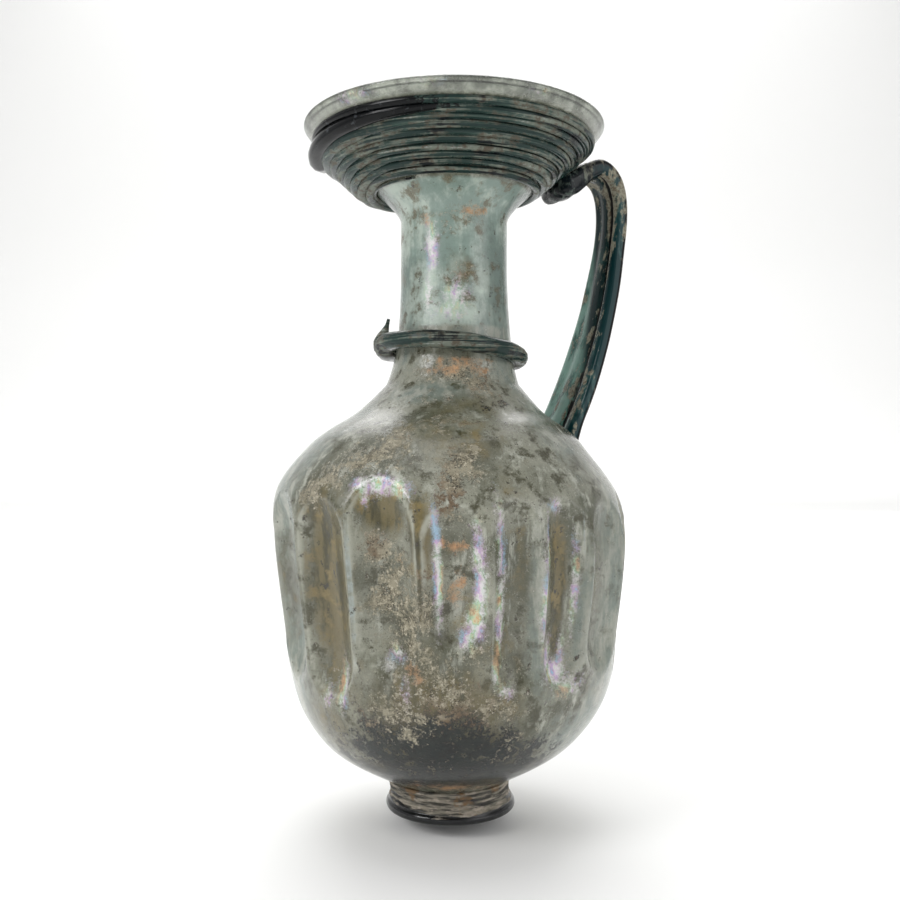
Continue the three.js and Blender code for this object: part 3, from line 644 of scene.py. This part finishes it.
# Collar. A thick trail of the same dark glass laid once round the base of the neck. It sits higher at
# the left and the front, its ends lap on the left, and one was pinched off in a small upright tail.
COLLAR_HEIGHT = NECK_ROOT + 10.2
COLLAR_RADIUS = 20.3
COLLAR_HALF = 2.7
COLLAR_LEFT_SLOPE = math.tan(math.radians(5.5))
COLLAR_FRONT_SLOPE = math.tan(math.radians(3.5))
COLLAR_SHIFT = 0.7
COLLAR_SLIM = 0.93
COLLAR_SINK = 0.2
COLLAR_WANDER = 0.3
COLLAR_UNEVEN = 0.06
SEAM_INSET = 2.3
SEAM_DROP = 0.4
SEAM_HALF = 2.2
COLLAR_TAIL = -73
COLLAR_LAP = -95
LAP_SPREAD = 24
LAP_INWARD = 0.7
LAP_DROP = 0.9
LAP_SWELL = 0.32
COLLAR_STEPS = 180


def on_collar(angle, out=0.0, up=0.0):
    left, front = -math.sin(math.radians(angle)), math.cos(math.radians(angle))
    r = COLLAR_RADIUS + COLLAR_SHIFT * left + out
    z = COLLAR_HEIGHT + COLLAR_RADIUS * (COLLAR_LEFT_SLOPE * left + COLLAR_FRONT_SLOPE * front) + up
    return Vector((-r * left + lean(z), -r * front, z)) * MM


angles = [COLLAR_TAIL + 360 * i / COLLAR_STEPS for i in range(COLLAR_STEPS)]
wander = [noise.noise(Vector((math.cos(math.radians(a)), math.sin(math.radians(a)), 3)) * 2) for a in angles]
laps = [bell(turn_gap(a, COLLAR_LAP), 0, LAP_SPREAD) for a in angles]
route = [on_collar(a, -LAP_INWARD * p, COLLAR_WANDER * w - COLLAR_SINK - LAP_DROP * p)
         for a, w, p in zip(angles, wander, laps)]
widths = [COLLAR_HALF * (COLLAR_SLIM + COLLAR_UNEVEN * w + LAP_SWELL * p) for w, p in zip(wander, laps)]
cords = [cord(route, widths, 0, closed=True)]
# The soft glass sank against the neck, which closes the corner between them.
route = [on_collar(a, -SEAM_INSET, -SEAM_DROP) for a in angles]
cords.append(cord(route, [SEAM_HALF] * COLLAR_STEPS, 0, closed=True))
TAIL_ROUTE = [(-22, 0.3, -1.6), (-15, 0.7, -0.9), (-8, 0.8, 0.2), (-2.5, 0.5, 1.5), (1, 0.2, 2.9),
              (2.5, -0.3, 4.6), (3, -0.7, 6.4)]
TAIL_WIDTHS = [1.8, 2.3, 2.2, 1.8, 1.2, 0.6, 0.45]
route = [on_collar(COLLAR_TAIL + turn, out, up) for turn, out, up in TAIL_ROUTE]
cords.append(cord(route, TAIL_WIDTHS, 0))
collar_mesh = joined("neck_collar_glass", cords)
add_piece("neck_collar_glass", collar_mesh, "trail_glass", "neck_collar")
collar_mesh.materials.append(threads)

# Foot. A gather stuck on under the body and tooled into a low pad while it turned, which left wavy
# furrows round its waist and a rolled edge, now black and shiny where the skin has worn off.
FOOT_LINE = [(0, 0.5), (8, 0.4), (14, 0.1), (17, 0), (18.6, 0.4), (19.05, 1.2), (18.9, 2.2), (18.2, 3.4),
             (17.7, 4.6), (17.6, 6), (17.8, 7.4), (18.1, 8.9), (16.5, 9.2), (8, 9.3), (0, 9.3)]
FOOT_STEPS = 160
FURROW_PITCH = 4.2
FURROW_DEPTH = 0.24
WAIST_INSET = 0.2
FOOT_RADIUS = 18
foot_mesh = spun("foot_glass", through(FOOT_LINE, 6), FOOT_STEPS)
foot_points = read_points(foot_mesh)
foot_azimuth = np.arctan2(foot_points[:, 0], -foot_points[:, 1])
foot_height = foot_points[:, 2].copy()
waist = smooth(foot_height, 1.8, 3.2) * (1 - smooth(foot_height, 8.2, 8.9))
furrow = np.sin(foot_height * FURROW_PITCH + 1.3 * np.sin(foot_azimuth * 2 + 0.5)
                + 0.7 * np.sin(foot_azimuth * 5))
foot_scale = 1 + (FURROW_DEPTH * furrow - WAIST_INSET) * waist / FOOT_RADIUS
foot_points[:, :2] *= foot_scale[:, None]
foot_points[:, 0] += lean(foot_height)
foot_points[:, 2] = np.maximum(foot_points[:, 2], 0)
write_points(foot_mesh, foot_points)
add_field(foot_mesh, "level", foot_height + 0.5 * np.sin(foot_azimuth * 2 + 1) + 0.3 * furrow)
add_piece("foot_glass", foot_mesh, "foot_glass", "foot")

# The same old glass, thick enough to look black, under a beige and grey skin with brown soil.
pad, tree = new_material("tooled_foot_glass")
place = add(tree, "TexCoord", {}).outputs["Object"]
level = add(tree, "Attribute", {"attribute_name": "level"}).outputs["Fac"]
streaks = grain(tree, place, 6, 6, 0.6, (0.7, 0.7, 6))
flaky = grain(tree, place, 2.4, 5, 0.65, (1, 1, 1.8))
gritty = grain(tree, place, 0.9, 4, 0.7)
shade = over(tree, colour("8B8578"), colour("34332D"), edge(tree, streaks, 0.42, 0.6))
shade = over(tree, shade, colour("ACA194"), edge(tree, sum_of(tree, flaky, streaks, -0.7), 0.16, 0.34))
brown_mask = edge(tree, sum_of(tree, grain(tree, place, 7), level, 0.012), 0.66, 0.74)
shade = over(tree, shade, colour("735B40"), brown_mask)
worn_mask = edge(tree, sum_of(tree, level, streaks, -5.0), 1.3, 0.6)
worn_mask = highest(tree, worn_mask, edge(tree, sum_of(tree, streaks, flaky, 0.7), 0.96, 1.06))
shade = over(tree, shade, colour("090B0E"), worn_mask)
rough = less(tree, edge(tree, gritty, -0.8, 1.2), worn_mask, 0.14)
bump = add(tree, "Bump", {"Strength": 0.5, "Distance": 0.3 * MM},
           {"Height": sum_of(tree, streaks, flaky, 0.5)})
shader = add(tree, "BsdfPrincipled", {"IOR": GLASS_IOR},
             {"Base Color": shade, "Roughness": rough, "Normal": bump.outputs[0]})
add(tree, "OutputMaterial", {}, {"Surface": shader.outputs[0]})
foot_mesh.materials.append(pad)

# Handle. A hot strap of dark teal glass, ribbed lengthwise, stuck broad on the shoulder, drawn up
# and bent over in an arch, and pressed in a thick fold under the mouth trail.
HANDLE_AZIMUTH = math.radians(114)
HANDLE_REACH = BODY_RADIUS + 2.65
PAD_RADIUS = MOUTH_RADIUS - 10.4
PAD_HEIGHT = 186.0
ARCH_HEIGHT = FUNNEL_TOP - 2.9
HANDLE_FOOT = (36.8, 110.4)
HANDLE_TOP_WIDTH = 13.5
HANDLE_FOOT_WIDTH = 22.6
HANDLE_THICKNESS = 5.5
HANDLE_RIB = 0.55
HANDLE_UNEVEN = 0.03
RIB_WAVES = 2.4
INNER_RIB = 0.4
GROOVE_DEPTH = 1.8
GROOVE_PLACE = -0.5
GROOVE_SPREAD = 0.08
END_SWELL = 0.22
END_RUN = 0.12
TIP_RUN = 0.02
TIP_THIN = 0.72
FOLD_SWELL = 0.3
FOLD_RUN = 0.3
WIDENING = (0.25, 0.95)
FLATNESS_ACROSS = 0.65
FLATNESS_THROUGH = 0.45
ARCH = [(-0.05, 0.12), (0.12, 0.14), (0.28, 0.4), (0.47, 0.78), (0.7, 1), (0.91, 0.55)]
RUN = [(1, 0.13), (0.96, 0.27), (0.74, 0.51), (0.42, 0.74), (0, 1), (-0.12, 1.08)]
HANDLE_STEPS = 130
SECTION_SIDES = 72
strap_line = np.array(through(
    [(mix(PAD_RADIUS, HANDLE_REACH, o), mix(PAD_HEIGHT, ARCH_HEIGHT, u)) for o, u in ARCH]
    + [(mix(HANDLE_FOOT[0], HANDLE_REACH, o), mix(ARCH_HEIGHT, HANDLE_FOOT[1], d)) for o, d in RUN], 20))
strap_along = np.gradient(strap_line, axis=0)
strap_along /= np.linalg.norm(strap_along, axis=1)[:, None]
lengths = np.concatenate([[0], np.cumsum(np.linalg.norm(np.diff(strap_line, axis=0), axis=1))])
bm = bmesh.new()
layers = [bm.verts.layers.float.new(name) for name in ("share", "across", "face")]
loops = []
for share in np.arange(HANDLE_STEPS + 1) / HANDLE_STEPS:
    r_mid, z_mid, step_r, step_z = (np.interp(share * lengths[-1], lengths, line)
                                    for line in (*strap_line.T, *strap_along.T))
    from_end = min(share, 1 - share)
    tip = 1 if share > TIP_RUN else TIP_THIN + 14 * share
    swell = (1 + END_SWELL * (1 - smooth(from_end, 0, END_RUN))) * tip
    fold = 1 + FOLD_SWELL * (1 - smooth(share, 0, FOLD_RUN))
    wobble = 1 + HANDLE_UNEVEN * noise.noise(Vector((share * 9, 2, 5)))
    width = mix(HANDLE_TOP_WIDTH, HANDLE_FOOT_WIDTH, smooth(share, *WIDENING)) * swell * wobble
    loop = bmesh.ops.create_circle(bm, segments=SECTION_SIDES, radius=1)["verts"]
    for k, vert in enumerate(loop):
        turned = 2 * math.pi * k / SECTION_SIDES
        across = math.copysign(abs(math.cos(turned)) ** FLATNESS_ACROSS, math.cos(turned))
        face = math.copysign(abs(math.sin(turned)) ** FLATNESS_THROUGH, math.sin(turned))
        groove = GROOVE_DEPTH * bell(across, GROOVE_PLACE, GROOVE_SPREAD)
        rib = math.cos(across * RIB_WAVES * math.pi) * (1 if face > 0 else INNER_RIB) - groove
        offset = face * (HANDLE_THICKNESS / 2 - HANDLE_RIB + HANDLE_RIB * rib) * swell * fold
        r, z = r_mid - step_z * offset, z_mid + step_r * offset
        side = across * width / 2
        vert.co = Vector((lean(z) + r * math.sin(HANDLE_AZIMUTH) + side * math.cos(HANDLE_AZIMUTH),
                          -r * math.cos(HANDLE_AZIMUTH) + side * math.sin(HANDLE_AZIMUTH), z)) * MM
        for layer, value in zip(layers, (share, across, face)):
            vert[layer] = value
    loops.append([bm.edges.get(pair) for pair in zip(loop, loop[1:] + loop[:1])])
for low, high in zip(loops, loops[1:]):
    bmesh.ops.bridge_loops(bm, edges=low + high)
bmesh.ops.contextual_create(bm, geom=loops[0])
bmesh.ops.contextual_create(bm, geom=loops[-1])
bmesh.ops.recalc_face_normals(bm, faces=bm.faces)
handle_mesh = bpy.data.meshes.new("handle_glass")
bm.to_mesh(handle_mesh)
bm.free()
add_piece("handle_glass", handle_mesh, "handle_glass", "handle")

# Deep teal glass that lets light through where it is thin, black in the grooves and at the fold, with
# a grey-brown film that has flaked off in long scales.
strap, tree = new_material("deep_teal_strap_glass")
place = add(tree, "TexCoord", {}).outputs["Object"]
field = fields_of(tree, ("share", "across", "face"))
scales = grain(tree, place, 5, 6, 0.62, (1, 1, 0.28))
flaky = grain(tree, place, 2.4, 5, 0.65, (1, 1, 0.6))
gritty = grain(tree, place, 0.9, 4, 0.7)
shade = over(tree, colour("14292A"), colour("2A4A46"), edge(tree, scales, 0.48, 0.64))
inward = sum_of(tree, sum_of(tree, field["share"], field["across"], 0.35), field["face"], -0.2)
inner_mask = edge(tree, inward, 0.75, 0.95)
inner = over(tree, colour("8BB5A8"), colour("34685F"), edge(tree, scales, 0.46, 0.62))
shade = over(tree, shade, inner, inner_mask)
near_edge = edge(tree, field["across"], -0.62, -0.8)
near = over(tree, colour("0C2E31"), colour("355453"), edge(tree, scales, 0.48, 0.6))
shade = over(tree, shade, near, near_edge)
outer_rim = edge(tree, sum_of(tree, field["face"], near_edge, 1.0), 1.15, 1.4)
shade = over(tree, shade, colour("06080A"), outer_rim)
valley = edge(tree, unsigned(tree, sum_of(tree, field["share"], flaky, 0.1)), 0.45, 0.3)
off_groove = add(tree, "Math", {"operation": "ADD", 1: -GROOVE_PLACE}, {0: field["across"]}).outputs[0]
from_groove = unsigned(tree, off_groove)
beside = edge(tree, from_groove, 0.5, 0.1)
worn = sum_of(tree, sum_of(tree, sum_of(tree, scales, flaky, 0.8), valley, 0.1), beside, 0.1)
grey_mask = edge(tree, worn, 0.97, 1.08)
grey = over(tree, colour("8A8878"), colour("645A4B"), edge(tree, gritty, 0.45, 0.6))
shade = over(tree, shade, grey, grey_mask)
shade = over(tree, shade, colour("07090A"), edge(tree, sum_of(tree, from_groove, scales, -0.5), -0.13, -0.2))
fold_mask = edge(tree, sum_of(tree, field["share"], flaky, 0.25), 0.3, 0.2)
folded = over(tree, colour("0D1418"), colour("56605A"), edge(tree, flaky, 0.5, 0.64))
shade = over(tree, shade, folded, fold_mask)
rough = less(tree, edge(tree, gritty, 0.1, 2.4), grey_mask, 0.5)
clear = less(tree, scaled(tree, inner_mask, 0.25), grey_mask, 0.0)
bump = add(tree, "Bump", {"Strength": 0.3, "Distance": 0.2 * MM},
           {"Height": sum_of(tree, scales, grey_mask, 0.4)})
shader = add(tree, "BsdfPrincipled", {"IOR": GLASS_IOR, "Specular IOR Level": 0.2},
             {"Base Color": shade, "Transmission Weight": clear, "Roughness": rough,
              "Normal": bump.outputs[0]})
add(tree, "OutputMaterial", {}, {"Surface": shader.outputs[0]})
handle_mesh.materials.append(strap)

# Studio: a white sweep of paper under and behind the jug, a big soft light from the upper left,
# a weaker one on the right, one overhead and a broad one behind that whitens the paper.
SWEEP = [(-1.5, 0), (0.9, 0), (1.25, 0.06), (1.5, 0.3), (1.6, 0.8), (1.6, 2.4)]
bm = bmesh.new()
row = [bm.verts.new((-2.5, y, z)) for y, z in through(SWEEP, 8)]
edges = [bm.edges.new(pair) for pair in zip(row, row[1:])]
extruded = bmesh.ops.extrude_edge_only(bm, edges=edges)["geom"]
bmesh.ops.translate(bm, vec=(5, 0, 0), verts=[v for v in extruded if isinstance(v, bmesh.types.BMVert)])
bmesh.ops.recalc_face_normals(bm, faces=bm.faces)
sweep_mesh = bpy.data.meshes.new("paper_sweep")
bm.to_mesh(sweep_mesh)
bm.free()
for polygon in sweep_mesh.polygons:
    polygon.use_smooth = True
sweep = bpy.data.objects.new("paper_sweep", sweep_mesh)
bpy.context.collection.objects.link(sweep)
paper, tree = new_material("white_paper")
shader = add(tree, "BsdfPrincipled", {"Base Color": colour("F7F7F6"), "Roughness": 0.9,
                                      "Specular IOR Level": 0.1})
add(tree, "OutputMaterial", {}, {"Surface": shader.outputs[0]})
sweep_mesh.materials.append(paper)

# Each light: name, place, width in metres and power in watts.
LIGHTS = [("key", (-0.95, -0.7, 0.8), 0.5, 7.5), ("fill", (0.9, -0.6, 0.45), 0.7, 2.6),
          ("top", (-0.1, 0.1, 1.3), 0.9, 4.5), ("back", (0.0, 1.1, 1.5), 1.6, 18.0)]
for name, spot, width, power in LIGHTS:
    lamp = bpy.data.lights.new(name, "AREA")
    lamp.size = width
    lamp.energy = power
    holder = bpy.data.objects.new(name, lamp)
    holder.location = spot
    holder.rotation_euler = (Vector((0, 0, 0.1)) - Vector(spot)).to_track_quat("-Z", "Y").to_euler()
    bpy.context.collection.objects.link(holder)

world = bpy.data.worlds.new("studio")
world.use_nodes = True
world.node_tree.nodes["Background"].inputs["Color"].default_value = (1, 1, 1, 1)
world.node_tree.nodes["Background"].inputs["Strength"].default_value = 0.55
bpy.context.scene.world = world
bpy.context.scene.view_settings.view_transform = "Standard"

# Camera: level, close in front of the jug, at the middle of its height.
CAMERA_DISTANCE = 0.298
CAMERA_HEIGHT = 0.104
IMAGE_SIDE = 900
FOCAL_PIXELS = 1000
HORIZON_ROW = 455
AXIS_COLUMN = 452
lens = bpy.data.cameras.new("camera")
lens.sensor_width = 36
lens.lens = lens.sensor_width * FOCAL_PIXELS / IMAGE_SIDE
lens.shift_x = (IMAGE_SIDE / 2 - AXIS_COLUMN) / IMAGE_SIDE
lens.shift_y = (HORIZON_ROW - IMAGE_SIDE / 2) / IMAGE_SIDE
lens.clip_start = 0.01
camera = bpy.data.objects.new("camera", lens)
camera.location = (0, -CAMERA_DISTANCE, CAMERA_HEIGHT)
camera.rotation_euler = (math.radians(90), 0, 0)
bpy.context.collection.objects.link(camera)
bpy.context.scene.camera = camera
